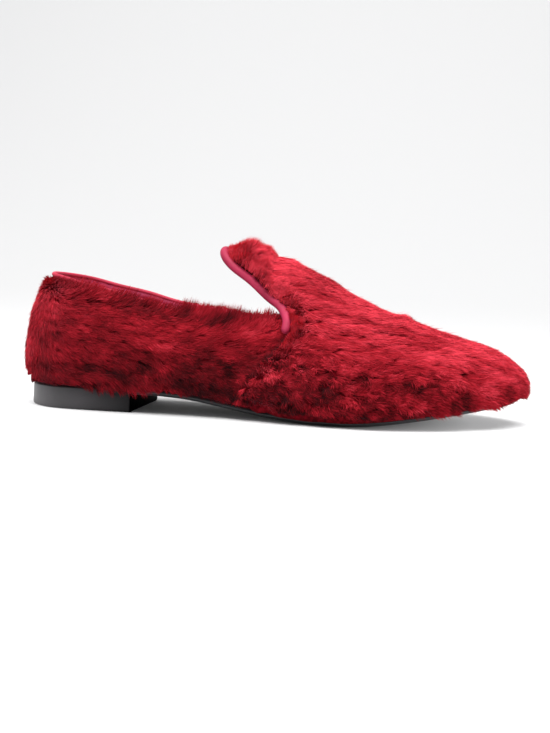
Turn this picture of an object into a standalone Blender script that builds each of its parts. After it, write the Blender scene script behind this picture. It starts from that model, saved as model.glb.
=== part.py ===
# A shearling loafer for the right foot, standing on its sole.
# Frame: the origin is the centre of the heel's tread, +X runs to the toe, +Y to the inner side of
# the foot and +Z up. The floor is z = 0. Lengths are in metres.

import math
import random
from collections import namedtuple

import bpy
import numpy as np
from mathutils import Vector

mm = 0.001

# Sizes of the sole and the heel
sole_length = 275 * mm
ball_width = 90 * mm
sole_thickness = 3.2 * mm
heel_height = 9.6 * mm
heel_length = 64 * mm
heel_inset = 0.5 * mm
toe_spring = 12.5 * mm
edge_bevel_top = 0.7 * mm
edge_bevel_bottom = 2.6 * mm
heel_edge_bevel = 0.8 * mm

# Sizes of the last, which is the inside of the upper
feather_margin = 2.8 * mm
instep_height = 82 * mm
back_height = 62 * mm
wall_bulge = 2.4 * mm

# Sizes of the shearling: the skin with its lining, the combed pile and the locks that stand out of it
skin_thickness = 1.8 * mm
pile_depth = 4.2 * mm
lock_height = 2.6 * mm
lock_lean = 1.6 * mm
vamp_extra_pile = 1.2 * mm
edge_pile = 0.4 * mm
lip_drop = 1.4 * mm
lip_reach = 1.7 * mm

# Trim and insole
piping_radius = 2.1 * mm
binding_radius = 1.4 * mm
insole_thickness = 2.6 * mm
insole_clearance = 0.7 * mm
fit_gap = 0.3 * mm
seat_slack = 0.3 * mm

# How finely each form is divided
quarter_columns = 34
side_rows = 16
throat_columns = 32
vamp_stations = 40
lining_step = 2
sole_stations = 36
heel_stations = 14
trim_points = 54

LATERAL, MEDIAL = -1, 1

# One row for each section of the last, from the back of the heel to the toe. lateral and medial are
# the sole's half widths as shares of half the ball width, before the ends are rounded. ridge is the
# top of the section above the feather line as a share of instep_height, and squareness is the
# section's superellipse exponent: 2 is an ellipse.
LastRow = namedtuple("LastRow", "share lateral medial ridge squareness bulge")
last_rows = [
    LastRow(0.000, 0.600, 0.600, 1.160, 3.00, 0.80),
    LastRow(0.100, 0.635, 0.635, 1.160, 3.00, 0.90),
    LastRow(0.200, 0.650, 0.640, 1.160, 2.90, 1.00),
    LastRow(0.300, 0.665, 0.600, 1.100, 2.70, 1.00),
    LastRow(0.380, 0.695, 0.570, 0.975, 2.45, 1.00),
    LastRow(0.430, 0.725, 0.580, 0.975, 2.30, 1.00),
    LastRow(0.460, 0.750, 0.595, 0.975, 2.25, 1.00),
    LastRow(0.500, 0.795, 0.640, 0.930, 2.20, 1.00),
    LastRow(0.550, 0.860, 0.715, 0.862, 2.20, 1.00),
    LastRow(0.600, 0.920, 0.800, 0.788, 2.20, 1.00),
    LastRow(0.650, 0.960, 0.890, 0.700, 2.20, 1.00),
    LastRow(0.700, 0.970, 0.970, 0.614, 2.20, 1.00),
    LastRow(0.750, 0.950, 1.000, 0.545, 2.20, 0.95),
    LastRow(0.800, 0.895, 0.985, 0.470, 2.20, 0.90),
    LastRow(0.850, 0.825, 0.935, 0.385, 2.20, 0.80),
    LastRow(0.900, 0.755, 0.880, 0.318, 2.20, 0.60),
    LastRow(0.950, 0.690, 0.830, 0.245, 2.20, 0.35),
    LastRow(0.980, 0.660, 0.800, 0.180, 2.20, 0.15),
    LastRow(1.000, 0.640, 0.780, 0.100, 2.20, 0.00),
]
heel_cap_share = 0.105
toe_cap_share = 0.20
toe_cap_fall = 2.2
toe_cap_power = 0.62
toe_swing = 5 * mm
toe_swing_start = 0.70

# The sole's underside: heel is the share of the heel height, spring the share of the toe spring.
UndersideRow = namedtuple("UndersideRow", "share heel spring")
underside_rows = [
    UndersideRow(0.000, 1.000, 0.00),
    UndersideRow(0.255, 1.000, 0.00),
    UndersideRow(0.300, 0.985, 0.00),
    UndersideRow(0.340, 0.905, 0.00),
    UndersideRow(0.380, 0.770, 0.00),
    UndersideRow(0.420, 0.580, 0.00),
    UndersideRow(0.460, 0.385, 0.00),
    UndersideRow(0.500, 0.220, 0.00),
    UndersideRow(0.550, 0.070, 0.00),
    UndersideRow(0.585, 0.000, 0.00),
    UndersideRow(0.672, 0.000, 0.00),
    UndersideRow(0.710, 0.000, 0.07),
    UndersideRow(0.750, 0.000, 0.18),
    UndersideRow(0.800, 0.000, 0.34),
    UndersideRow(0.850, 0.000, 0.51),
    UndersideRow(0.900, 0.000, 0.68),
    UndersideRow(0.950, 0.000, 0.84),
    UndersideRow(1.000, 0.000, 1.00),
]

# The line of the back seam: how far it stands in front of the feather line, at shares of the back
# height. Both columns are shares of back_height.
BackRow = namedtuple("BackRow", "height shift")
back_rows = [
    BackRow(0.00, 0.000),
    BackRow(0.22, -0.050),
    BackRow(0.45, -0.030),
    BackRow(0.70, 0.042),
    BackRow(1.00, 0.125),
    BackRow(1.20, 0.165),
]
back_lean_share = 0.22

# The collar's edge above the floor, as a share of back_height, along the last.
CollarRow = namedtuple("CollarRow", "share height")
collar_rows = [
    CollarRow(0.000, 1.190),
    CollarRow(0.060, 1.155),
    CollarRow(0.130, 1.090),
    CollarRow(0.205, 1.030),
    CollarRow(0.255, 0.970),
    CollarRow(0.305, 0.928),
    CollarRow(0.375, 0.885),
    CollarRow(0.425, 0.860),
    CollarRow(0.475, 0.835),
    CollarRow(0.505, 0.850),
    CollarRow(0.525, 0.890),
    CollarRow(0.540, 0.955),
]

# The side seam between quarter and vamp, from the feather line (climb 0) to the collar's front
# corner (climb 1). Its last share is the corner of the opening.
SeamRow = namedtuple("SeamRow", "climb share")
seam_rows = [
    SeamRow(0.00, 0.433),
    SeamRow(0.22, 0.457),
    SeamRow(0.39, 0.488),
    SeamRow(0.59, 0.524),
    SeamRow(0.71, 0.546),
    SeamRow(0.80, 0.556),
    SeamRow(0.92, 0.552),
    SeamRow(1.00, 0.540),
]

# The vamp's edge from the corner of the opening (along 0) over the tongue to its ridge (along 1).
# rise is the share of the way up from the corner to the ridge.
ThroatRow = namedtuple("ThroatRow", "along share rise")
throat_rows = [
    ThroatRow(0.00, 0.540, 0.000),
    ThroatRow(0.12, 0.533, 0.100),
    ThroatRow(0.28, 0.508, 0.230),
    ThroatRow(0.46, 0.471, 0.430),
    ThroatRow(0.62, 0.434, 0.640),
    ThroatRow(0.76, 0.413, 0.820),
    ThroatRow(0.88, 0.406, 0.940),
    ThroatRow(1.00, 0.405, 1.000),
]

piping_end_climb = 0.70
binding_end_columns = 2
piping_dive_columns = 4
vamp_first_step = 0.012


def smooth_value(rows, column, at):
    """The value of a table's column at a place between its rows, without overshoot."""
    keys = [row[0] for row in rows]
    values = [getattr(row, column) for row in rows]
    at = min(max(at, keys[0]), keys[-1])
    i = max(k for k in range(len(keys) - 1) if keys[k] <= at)
    slopes = [(values[k + 1] - values[k]) / (keys[k + 1] - keys[k]) for k in range(len(keys) - 1)]

    def slope_at(k):
        if k in (0, len(keys) - 1):
            return slopes[min(k, len(slopes) - 1)]
        before, after = slopes[k - 1], slopes[k]
        return 0.0 if before * after <= 0 else 2 * before * after / (before + after)

    width = keys[i + 1] - keys[i]
    t = (at - keys[i]) / width
    return (
        values[i] * (1 + 2 * t) * (1 - t) ** 2
        + slope_at(i) * width * t * (1 - t) ** 2
        + values[i + 1] * t * t * (3 - 2 * t)
        - slope_at(i + 1) * width * t * t * (1 - t)
    )


def mix(a, b, t):
    return a + (b - a) * t


def clamp(value):
    return min(max(value, 0.0), 1.0)


# The sole's plan and profile

sole_back = -heel_length / 2 - heel_inset
sole_toe = sole_back + sole_length


def end_rounding(share):
    """Takes the half width to nothing at the round heel and the almond toe."""
    rounding = 1.0
    if share < heel_cap_share:
        rounding = math.sqrt(max(0.0, 1 - (1 - share / heel_cap_share) ** 2))
    start = 1 - toe_cap_share
    if share > start:
        fall = ((share - start) / toe_cap_share) ** toe_cap_fall
        rounding = max(0.0, 1 - fall) ** toe_cap_power
    return rounding


def centre_line(share):
    """The middle of the shoe swings to the inner side towards the toe."""
    return toe_swing * clamp((share - toe_swing_start) / (1 - toe_swing_start)) ** 2


def plan_point(share, side, inset=0.0):
    """A point of the sole's outline, moved inwards by inset."""
    column = "lateral" if side == LATERAL else "medial"
    half_width = smooth_value(last_rows, column, share) * ball_width / 2 - inset
    x = sole_back + inset + share * (sole_length - 2 * inset)
    return x, centre_line(share) + side * half_width * end_rounding(share)


def underside(x):
    """Height of the sole's underside above the floor at x."""
    share = (x - sole_back) / sole_length
    heel = smooth_value(underside_rows, "heel", share)
    spring = smooth_value(underside_rows, "spring", share)
    return heel * heel_height + spring * toe_spring


def sole_top(x):
    return underside(x) + sole_thickness


# The last: the surface that the inside of the upper follows

def section_angle(rise, squareness):
    """The angle round a superellipse at which its height is rise, a share of its full height."""
    if rise >= 1:
        return math.pi / 2
    return math.atan2(1.0, (max(rise, 1e-6) ** -squareness - 1) ** (1 / squareness))


def last_point(share, angle, side):
    """A point of the last. angle is 0 at the feather line and a right angle on the ridge."""
    x, y_edge = plan_point(share, side, feather_margin)
    middle = centre_line(share)
    n = smooth_value(last_rows, "squareness", share)
    across, up = max(0.0, math.cos(angle)), math.sin(angle)
    reach = (across**n + up**n) ** (-1 / n)
    ridge = smooth_value(last_rows, "ridge", share) * instep_height
    rise = up * reach
    height = rise * ridge
    swell = clamp(rise / 0.7)
    bulge = 4 * swell * (1 - swell) * wall_bulge * smooth_value(last_rows, "bulge", share)
    y = middle + (y_edge - middle) * across * reach + side * bulge * min(1.0, end_rounding(share))
    lean = clamp(1 - share / back_lean_share) ** 2
    x += lean * back_height * smooth_value(back_rows, "shift", height / back_height)
    return Vector((x, y, sole_top(x) + fit_gap + height))


def angle_at_height(share, height):
    """The section angle at which the last is this high above its feather line."""
    ridge = smooth_value(last_rows, "ridge", share) * instep_height
    return section_angle(height / ridge, smooth_value(last_rows, "squareness", share))


def last_x(share):
    return sole_back + feather_margin + share * (sole_length - 2 * feather_margin)


def collar_height(share):
    """The collar's edge above the feather line."""
    floor_height = smooth_value(collar_rows, "height", share) * back_height
    return floor_height - sole_top(last_x(share)) - fit_gap


def quarter_place(column, row):
    """(share, angle) of a grid point of the quarter: column 0 is the back seam."""
    along = (column / quarter_columns) ** 1.5
    climb = row / side_rows
    foot = seam_rows[0].share * along
    top = seam_rows[-1].share * along
    lean = along**1.5
    share = foot + lean * (smooth_value(seam_rows, "share", climb) - seam_rows[0].share)
    share += (top - foot) * climb * (1 - lean) * along
    edge_share = foot + lean * (seam_rows[-1].share - seam_rows[0].share)
    edge_share += (top - foot) * (1 - lean) * along
    return share, angle_at_height(share, climb * collar_height(edge_share))


half_columns = side_rows + throat_columns // 2


def section_rise(share, angle):
    """The height at this angle of the section, as a share of its ridge height."""
    n = smooth_value(last_rows, "squareness", share)
    across, up = max(0.0, math.cos(angle)), math.sin(angle)
    return up * (across**n + up**n) ** (-1 / n)


def throat_place(along):
    """(share, angle) on the vamp's edge, from the opening's corner (0) to the ridge (1)."""
    corner_rise = section_rise(*quarter_place(quarter_columns, side_rows))
    share = smooth_value(throat_rows, "share", along)
    rise = mix(corner_rise, 1.0, smooth_value(throat_rows, "rise", along))
    return share, section_angle(rise, smooth_value(last_rows, "squareness", share))


def vamp_place(column, station):
    """(share, angle) of a grid point of the vamp: column 0 is the feather line, station 0 the seam
    and the throat's edge, and the last station is the toe."""
    if column <= side_rows:
        start_share, start_angle = quarter_place(quarter_columns, column)
    else:
        start_share, start_angle = throat_place((column - side_rows) / (half_columns - side_rows))
    if station == 0:
        return start_share, start_angle
    toe_angle = math.pi / 2 * column / half_columns
    t = (station - 1) / (vamp_stations - 1)
    forward = mix(vamp_first_step, 1.0, 1 - (1 - t) ** 1.35)
    settle = forward * forward * (3 - 2 * forward)
    return mix(start_share, 1.0, forward), mix(start_angle, toe_angle, settle)


class Shell:
    """The grid of the upper: its points on the last and the faces between them."""

    def __init__(self):
        self.points, self.place, self.shares = [], [], []
        self.quarter, self.vamp = {}, {}
        self.add_quarter()
        self.add_vamp()
        self.points = np.array(self.points)
        self.normals = self.vertex_normals()

    def add(self, share, angle, side, kind, along, up):
        self.points.append(last_point(share, angle, side))
        self.place.append((kind, side, along, up))
        self.shares.append(share)
        return len(self.points) - 1

    def add_quarter(self):
        for side in (LATERAL, MEDIAL):
            for column in range(quarter_columns + 1):
                for row in range(side_rows + 1):
                    shared = self.quarter.get((LATERAL, 0, row)) if column == 0 else None
                    if shared is None:
                        share, angle = quarter_place(column, row)
                        shared = self.add(share, angle, side, "quarter", column, row)
                    self.quarter[side, column, row] = shared

    def add_vamp(self):
        last_column = 2 * half_columns
        for column in range(last_column + 1):
            near = min(column, last_column - column)
            side = LATERAL if column <= half_columns else MEDIAL
            for station in range(vamp_stations + 1):
                index = None
                if station == 0 and near <= side_rows:
                    index = self.quarter[side, quarter_columns, near]
                elif station == vamp_stations and column > half_columns:
                    index = self.vamp[near, station]
                if index is None:
                    share, angle = vamp_place(near, station)
                    index = self.add(share, angle, side, "vamp", station, near)
                self.vamp[column, station] = index

    def faces(self, step):
        """The grid's faces seen from outside, taking every step-th row and column."""
        found = []
        for side in (LATERAL, MEDIAL):
            for column in range(0, quarter_columns, step):
                for row in range(0, side_rows, step):
                    face = [
                        self.quarter[side, column, row],
                        self.quarter[side, column + step, row],
                        self.quarter[side, column + step, row + step],
                        self.quarter[side, column, row + step],
                    ]
                    found.append(face if side == LATERAL else face[::-1])
        for column in range(0, 2 * half_columns, step):
            for station in range(0, vamp_stations, step):
                found.append([
                    self.vamp[column, station],
                    self.vamp[column, station + step],
                    self.vamp[column + step, station + step],
                    self.vamp[column + step, station],
                ])
        return found

    def vertex_normals(self):
        normals = np.zeros_like(self.points)
        for face in self.faces(1):
            a, b, c, d = (self.points[k] for k in face)
            normal = np.cross(c - a, d - b)
            for k in face:
                normals[k] += normal
        return normals / np.linalg.norm(normals, axis=1)[:, None]

    def rim(self, index):
        """Where the wall meets the sole's edge, for a point on the feather line."""
        x, y = plan_point(self.shares[index], self.place[index][1], -fit_gap)
        return np.array([x, y, sole_top(x) + fit_gap])

    def outward(self, index):
        """The level direction away from the foot."""
        level = self.normals[index] * [1, 1, 0]
        return level / np.linalg.norm(level)

    def forward(self, index):
        """The direction towards the toe along the skin, slightly down, in which the pile lies."""
        normal = self.normals[index]
        flow = np.array([1.0, 0.0, -0.25])
        flow -= normal * flow.dot(normal)
        return flow / np.linalg.norm(flow)

    def feather_loop(self):
        """Indices along the feather line, once round from the back seam."""
        lateral = [self.quarter[LATERAL, c, 0] for c in range(quarter_columns + 1)]
        lateral += [self.vamp[0, s] for s in range(1, vamp_stations + 1)]
        medial = [self.vamp[2 * half_columns, s] for s in range(vamp_stations - 1, 0, -1)]
        medial += [self.quarter[MEDIAL, c, 0] for c in range(quarter_columns, 0, -1)]
        return lateral + medial

    def opening_loop(self):
        """Indices round the opening: along the collar from the outer corner round the back to the
        inner one, then over the tongue."""
        collar = [self.quarter[LATERAL, c, side_rows] for c in range(quarter_columns, -1, -1)]
        collar += [self.quarter[MEDIAL, c, side_rows] for c in range(1, quarter_columns + 1)]
        last_column = 2 * half_columns - side_rows
        return collar + [self.vamp[c, 0] for c in range(last_column - 1, side_rows, -1)]


def lock_relief(shell):
    """How far each grid point stands out as part of a lock, from 0 to 1. Locks lie in staggered
    rows, three grid steps long and two wide, each of its own height."""
    chance = random.Random(11)
    shifts = [chance.randrange(3) for _ in range(half_columns)]
    heights, relief = {}, []
    for kind, side, along, up in shell.place:
        row = up // 2
        shifted = along + shifts[row]
        key = (kind, side, row, shifted // 3)
        if key not in heights:
            heights[key] = chance.uniform(0.5, 1.0)
        along_lock = (0.10, 0.55, 1.00)[shifted % 3]
        across_lock = 1.0 if up % 2 else 0.40
        fade = 1.0
        if kind == "vamp":
            fade = clamp((vamp_stations - along - 1) / 5)
        relief.append(along_lock * across_lock * heights[key] * fade)
    return relief


def pile_share(kind, along, up):
    """How much of its full depth the pile has: it thins to the edges that the binding and the
    piping take, and into the side seam."""
    if kind == "vamp":
        return (0.0, 0.75)[along] if along < 2 else 1.0
    share = min(1.0, 0.12 + 0.30 * (side_rows - up))
    from_seam = quarter_columns - along
    if up / side_rows >= piping_end_climb - 0.1:
        return share * clamp(0.30 * (from_seam - 1) + 0.05)
    return share * min(1.0, 0.30 + 0.25 * from_seam)


def outer_points(shell):
    """The outside of the shearling, one point for each point of the last."""
    relief = lock_relief(shell)
    outer = np.empty_like(shell.points)
    for index, (kind, side, along, up) in enumerate(shell.place):
        share = pile_share(kind, along, up)
        depth = pile_depth + (vamp_extra_pile if kind == "vamp" else 0.0)
        tip = relief[index] * share
        thickness = skin_thickness + mix(edge_pile, depth, share) + lock_height * tip
        outer[index] = shell.points[index] + shell.normals[index] * thickness
        outer[index] += shell.forward(index) * lock_lean * tip
    for index in shell.feather_loop():
        reach = lip_reach * mix(0.8, 1.3, relief[index])
        outer[index] = shell.rim(index) + shell.outward(index) * reach
        outer[index][2] -= lip_drop * mix(0.6, 1.4, relief[index])
    return outer


# Making Blender objects

def clear_scene():
    for old in list(bpy.data.objects):
        bpy.data.objects.remove(old)


def material(name, colour, roughness):
    made = bpy.data.materials.new(name)
    made.use_nodes = True
    shader = made.node_tree.nodes["Principled BSDF"]
    shader.inputs["Base Color"].default_value = (*colour, 1.0)
    shader.inputs["Roughness"].default_value = roughness
    shader.inputs["Metallic"].default_value = 0.0
    return made


def mesh_object(name, points, faces, finish):
    mesh = bpy.data.meshes.new(name)
    mesh.from_pydata([tuple(p) for p in points], [], faces)
    mesh.materials.append(finish)
    made = bpy.data.objects.new(name, mesh)
    bpy.context.scene.collection.objects.link(made)
    mesh.shade_smooth()
    mesh.set_sharp_from_angle(angle=math.radians(50))
    return made


def strip(a, b, closed=False):
    """Faces between two rows of as many indices."""
    count = len(a)
    ends = count if closed else count - 1
    return [[a[k], a[(k + 1) % count], b[(k + 1) % count], b[k]] for k in range(ends)]


def bridge(coarse, fine):
    """Faces between a closed loop and one with lining_step times as many points."""
    faces = []
    for k in range(len(coarse)):
        a, b = coarse[k], coarse[(k + 1) % len(coarse)]
        middle = [fine[(lining_step * k + n) % len(fine)] for n in range(lining_step + 1)]
        faces += [[a, middle[n + 1], middle[n]] for n in range(lining_step - 1)]
        faces.append([a, b, middle[-1]])
        faces.append([a, middle[-1], middle[-2]])
    return faces


def build_upper(shell, outer):
    """The wall: the lining's surface on the last, the fleece outside it, and the rims between."""
    feather, opening = shell.feather_loop(), shell.opening_loop()
    rim = [shell.rim(k) for k in feather]
    lining_faces = shell.faces(lining_step)
    used = sorted({k for face in lining_faces for k in face})
    lining_index = {k: len(outer) + n for n, k in enumerate(used)}
    rim_start = len(outer) + len(used)
    rim_index = list(range(rim_start, rim_start + len(rim)))
    points = list(outer) + [shell.points[k] for k in used] + rim
    faces = shell.faces(1)
    faces += [[lining_index[k] for k in face[::-1]] for face in lining_faces]
    faces += bridge([lining_index[k] for k in feather[::lining_step]], rim_index)
    faces += strip(rim_index, feather, closed=True)
    faces += bridge([lining_index[k] for k in opening[::lining_step]], opening)
    return mesh_object("upper", points, faces, material("shearling", (0.45, 0.01, 0.03), 0.9))


def stations(count, last=1.0):
    """Shares along the sole, closer together at its round ends."""
    return [last * (1 - math.cos(math.pi * k / count)) / 2 for k in range(count + 1)]


def ring(shares, inset, height_of, front=None):
    """Points round the sole's outline: out along the outer side and back along the inner one."""
    out = [plan_point(share, LATERAL, inset) for share in shares]
    back = [plan_point(share, MEDIAL, inset) for share in shares[-2:0:-1]]
    if front is not None:
        back = [plan_point(share, MEDIAL, inset) for share in shares[:0:-1]]
        out[-1] = (front, out[-1][1])
        back[0] = (front, back[0][1])
    return [(x, y, height_of(x)) for x, y in out + back]


def plate(name, rings, open_front, finish):
    """A solid from rings stacked upwards, its two ends closed by strips across the sole."""
    size = len(rings[0])
    points = [point for one in rings for point in one]
    faces = []
    for level in range(len(rings) - 1):
        low = list(range(level * size, (level + 1) * size))
        faces += strip(low, [k + size for k in low], closed=True)
    for level, turned in ((0, True), (len(rings) - 1, False)):
        start = level * size
        count = (size + (2 if open_front else 0)) // 2
        for k in range(count - 1 if open_front else count):
            left, right = k, (size - k) % size
            next_left, next_right = k + 1, size - k - 1
            if open_front and k == 0:
                face = [start, start + 1, start + next_right]
            else:
                face = [start + left, start + next_left, start + next_right, start + right]
            face = [v for n, v in enumerate(face) if v not in face[:n]]
            if len(face) > 2:
                faces.append(face[::-1] if turned else face)
    return mesh_object(name, points, faces, finish)


def build_outsole():
    shares = stations(sole_stations)
    rings = [
        ring(shares, edge_bevel_bottom, underside),
        ring(shares, 0.0, lambda x: underside(x) + sole_thickness * 0.55),
        ring(shares, edge_bevel_top, sole_top),
    ]
    finish = material("black_sole", (0.012, 0.012, 0.014), 0.45)
    return plate("outsole", rings, False, finish)


def build_heel():
    breast = heel_length / 2
    breast_share = (breast - sole_back) / sole_length
    shares = [breast_share * (k / heel_stations) ** 1.7 for k in range(heel_stations + 1)]
    seat = heel_height - fit_gap

    def level(height, inset):
        front = breast - (inset - heel_inset)
        return ring(shares, inset, lambda x: height, front)

    rings = [
        level(0.0, heel_inset + heel_edge_bevel),
        level(heel_edge_bevel, heel_inset),
        level(seat, heel_inset),
    ]
    finish = material("black_heel", (0.014, 0.014, 0.016), 0.5)
    return plate("heel_block", rings, True, finish)


def build_insole():
    shares = stations(sole_stations)
    inset = feather_margin + fit_gap + insole_clearance
    rings = [
        ring(shares, inset, lambda x: sole_top(x) + fit_gap),
        ring(shares, inset, lambda x: sole_top(x) + fit_gap + insole_thickness),
    ]
    finish = material("insole_leather", (0.42, 0.05, 0.11), 0.6)
    return plate("insole", rings, False, finish)


def smooth_path(knots, count):
    """Evenly spaced points on a smooth curve through the knots."""
    knots = [Vector(k) for k in knots]
    padded = [2 * knots[0] - knots[1]] + knots + [2 * knots[-1] - knots[-2]]
    fine = []
    for a, b, c, d in zip(padded, padded[1:], padded[2:], padded[3:]):
        for step in range(8):
            t = step / 8
            fine.append(
                0.5 * (2 * b + (c - a) * t + (2 * a - 5 * b + 4 * c - d) * t * t
                       + (3 * b - a - 3 * c + d) * t**3)
            )
    fine.append(knots[-1])
    run = [0.0]
    for a, b in zip(fine, fine[1:]):
        run.append(run[-1] + (b - a).length)
    even = []
    for k in range(count):
        want = run[-1] * k / (count - 1)
        i = min(max(j for j in range(len(run)) if run[j] <= want + 1e-12), len(run) - 2)
        t = (want - run[i]) / (run[i + 1] - run[i])
        even.append(fine[i].lerp(fine[i + 1], t))
    return even


def relaxed(points, passes):
    """The same path with its small kinks eased out, its ends as they were."""
    points = [Vector(p) for p in points]
    for _ in range(passes):
        inner = [(a + 2 * b + c) / 4 for a, b, c in zip(points, points[1:], points[2:])]
        points = [points[0]] + inner + [points[-1]]
    return points


def roll(name, path, radius, finish):
    """A rolled leather edge along a path, with closed ends."""
    curve = bpy.data.curves.new(name, "CURVE")
    curve.dimensions = "3D"
    curve.bevel_depth = radius
    curve.bevel_resolution = 1
    curve.use_fill_caps = True
    spline = curve.splines.new("POLY")
    spline.points.add(len(path) - 1)
    for point, place in zip(spline.points, path):
        point.co = (*place, 1.0)
    curve.materials.append(finish)
    made = bpy.data.objects.new(name, curve)
    bpy.context.scene.collection.objects.link(made)
    return made


def beside_edge(shell, before, index, after, inside):
    """The direction along the skin, square to an edge, that leads away from a point inside it."""
    away = np.cross(shell.points[after] - shell.points[before], shell.normals[index])
    away /= np.linalg.norm(away)
    return away if away.dot(shell.points[index] - shell.points[inside]) > 0 else -away


def edge_seat(shell, outer, before, index, after, inside, radius):
    """Where a roll of this radius sits on the wall's edge: past the rim, clear of it by the gap."""
    rim = (shell.points[index] + outer[index]) / 2
    away = beside_edge(shell, before, index, after, inside)
    return rim + away * (radius + fit_gap + seat_slack)


def build_collar_binding(shell, outer):
    def seat(side, column):
        before = shell.quarter[side, max(column - 1, 0), side_rows]
        index = shell.quarter[side, column, side_rows]
        after = shell.quarter[side, column + 1, side_rows]
        if column == 0:
            before = shell.quarter[-side, 1, side_rows]
        inside = shell.quarter[side, column, side_rows - 1]
        return edge_seat(shell, outer, before, index, after, inside, binding_radius)

    last = quarter_columns - binding_end_columns
    knots = [seat(LATERAL, column) for column in range(last, -1, -1)]
    knots += [seat(MEDIAL, column) for column in range(1, last + 1)]
    finish = material("binding_leather", (0.5, 0.03, 0.12), 0.45)
    return roll("collar_binding", smooth_path(knots, trim_points), binding_radius, finish)


def build_vamp_piping(shell, outer):
    last_column = 2 * half_columns
    end_row = math.ceil(piping_end_climb * side_rows)

    def seam_seat(side, row):
        before, index, after = (shell.quarter[side, quarter_columns, row + n] for n in (-1, 0, 1))
        inside = shell.vamp[row if side == LATERAL else last_column - row, 2]
        away = beside_edge(shell, before, index, after, inside)
        lift = piping_radius + fit_gap + seat_slack
        return outer[index] + shell.normals[index] * lift + away * piping_radius

    def throat_seat(column):
        before, index, after = (shell.vamp[column + n, 0] for n in (-1, 0, 1))
        inside = shell.vamp[column, 2]
        seat = edge_seat(shell, outer, before, index, after, inside, piping_radius)
        from_corner = min(column, last_column - column) - side_rows
        lift = (2 * piping_radius) * clamp(1 - from_corner / piping_dive_columns)
        return seat + shell.normals[index] * lift

    knots = [seam_seat(LATERAL, row) for row in range(end_row, side_rows)]
    knots += [throat_seat(c) for c in range(side_rows + 1, last_column - side_rows)]
    knots += [seam_seat(MEDIAL, row) for row in range(side_rows - 1, end_row - 1, -1)]
    finish = material("piping_leather", (0.55, 0.04, 0.14), 0.4)
    path = smooth_path(relaxed(knots, 1), trim_points)
    return roll("vamp_piping", path, piping_radius, finish)


def build():
    clear_scene()
    shell = Shell()
    outer = outer_points(shell)
    build_outsole()
    build_heel()
    build_insole()
    build_upper(shell, outer)
    build_collar_binding(shell, outer)
    build_vamp_piping(shell, outer)


build()
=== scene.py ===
# Looks of the shearling loafer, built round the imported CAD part.
# Metres, with the toe to +X, the outer side of the foot to -Y and the floor at z = 0.

import math
from types import SimpleNamespace

import bpy
import numpy as np
from mathutils import Matrix, Vector
from mathutils.bvhtree import BVHTree
from mathutils.kdtree import KDTree


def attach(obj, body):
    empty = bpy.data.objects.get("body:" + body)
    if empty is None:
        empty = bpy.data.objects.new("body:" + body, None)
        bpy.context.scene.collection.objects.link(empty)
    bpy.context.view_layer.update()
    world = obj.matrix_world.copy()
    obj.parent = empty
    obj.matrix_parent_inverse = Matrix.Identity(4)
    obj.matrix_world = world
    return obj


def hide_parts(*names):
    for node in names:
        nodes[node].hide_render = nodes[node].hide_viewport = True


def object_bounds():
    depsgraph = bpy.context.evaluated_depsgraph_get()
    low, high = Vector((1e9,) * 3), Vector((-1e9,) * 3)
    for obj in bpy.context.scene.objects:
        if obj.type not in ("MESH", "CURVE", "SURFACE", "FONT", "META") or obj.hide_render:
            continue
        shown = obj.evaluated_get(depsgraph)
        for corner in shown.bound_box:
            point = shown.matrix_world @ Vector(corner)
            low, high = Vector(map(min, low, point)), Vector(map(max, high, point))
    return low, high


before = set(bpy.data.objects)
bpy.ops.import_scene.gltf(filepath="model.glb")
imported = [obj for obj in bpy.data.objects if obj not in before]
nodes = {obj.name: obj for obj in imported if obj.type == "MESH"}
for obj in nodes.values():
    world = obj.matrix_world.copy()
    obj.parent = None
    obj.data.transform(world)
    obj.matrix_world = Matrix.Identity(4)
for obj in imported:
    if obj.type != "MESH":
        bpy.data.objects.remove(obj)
cadLow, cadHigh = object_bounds()
mm = 0.001
print("frame loaded")


# Small helpers

def deselectAll():
    if bpy.context.object and bpy.context.object.mode != "OBJECT":
        bpy.ops.object.mode_set(mode="OBJECT")
    bpy.ops.object.select_all(action="DESELECT")


def makeActive(piece):
    deselectAll()
    bpy.context.view_layer.objects.active = piece
    piece.select_set(True)


def applyModifiers(piece):
    makeActive(piece)
    for modifier in list(piece.modifiers):
        bpy.ops.object.modifier_apply(modifier=modifier.name)


def copyNode(nodeName, pieceName):
    # a merged copy of a CAD node, free to be rounded and textured
    piece = nodes[nodeName].copy()
    piece.data = nodes[nodeName].data.copy()
    piece.name = pieceName
    piece.data.name = pieceName
    for key in list(piece.keys()):
        if key.startswith("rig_"):
            del piece[key]
    piece.parent = None
    bpy.context.scene.collection.objects.link(piece)
    piece.data.materials.clear()
    makeActive(piece)
    bpy.ops.object.mode_set(mode="EDIT")
    bpy.ops.mesh.select_all(action="SELECT")
    bpy.ops.mesh.remove_doubles(threshold=0.00001)
    bpy.ops.mesh.tris_convert_to_quads()
    bpy.ops.object.mode_set(mode="OBJECT")
    return piece


def smoothStep(low, high, value):
    t = np.clip((value - low) / (high - low), 0, 1)
    return t * t * (3 - 2 * t)


def unit(vectors):
    return vectors / np.maximum(np.linalg.norm(vectors, axis=-1, keepdims=True), 1e-12)


def between(first, last, share):
    return first + (last - first) * share


def pointsOf(mesh, key="co"):
    # the places of a mesh's points, or their normals
    flat = np.empty(len(mesh.vertices) * 3)
    mesh.vertices.foreach_get(key, flat)
    return flat.reshape(-1, 3)


def finderOf(points):
    # a tree that finds the nearest of the given points
    finder = KDTree(len(points))
    for k, point in enumerate(points):
        finder.insert(Vector(point), k)
    finder.balance()
    return finder


# Materials

def newMaterial(name):
    made = bpy.data.materials.new(name)
    made.use_nodes = True
    tree = made.node_tree
    return made, tree, tree.nodes["Principled BSDF"]


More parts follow.
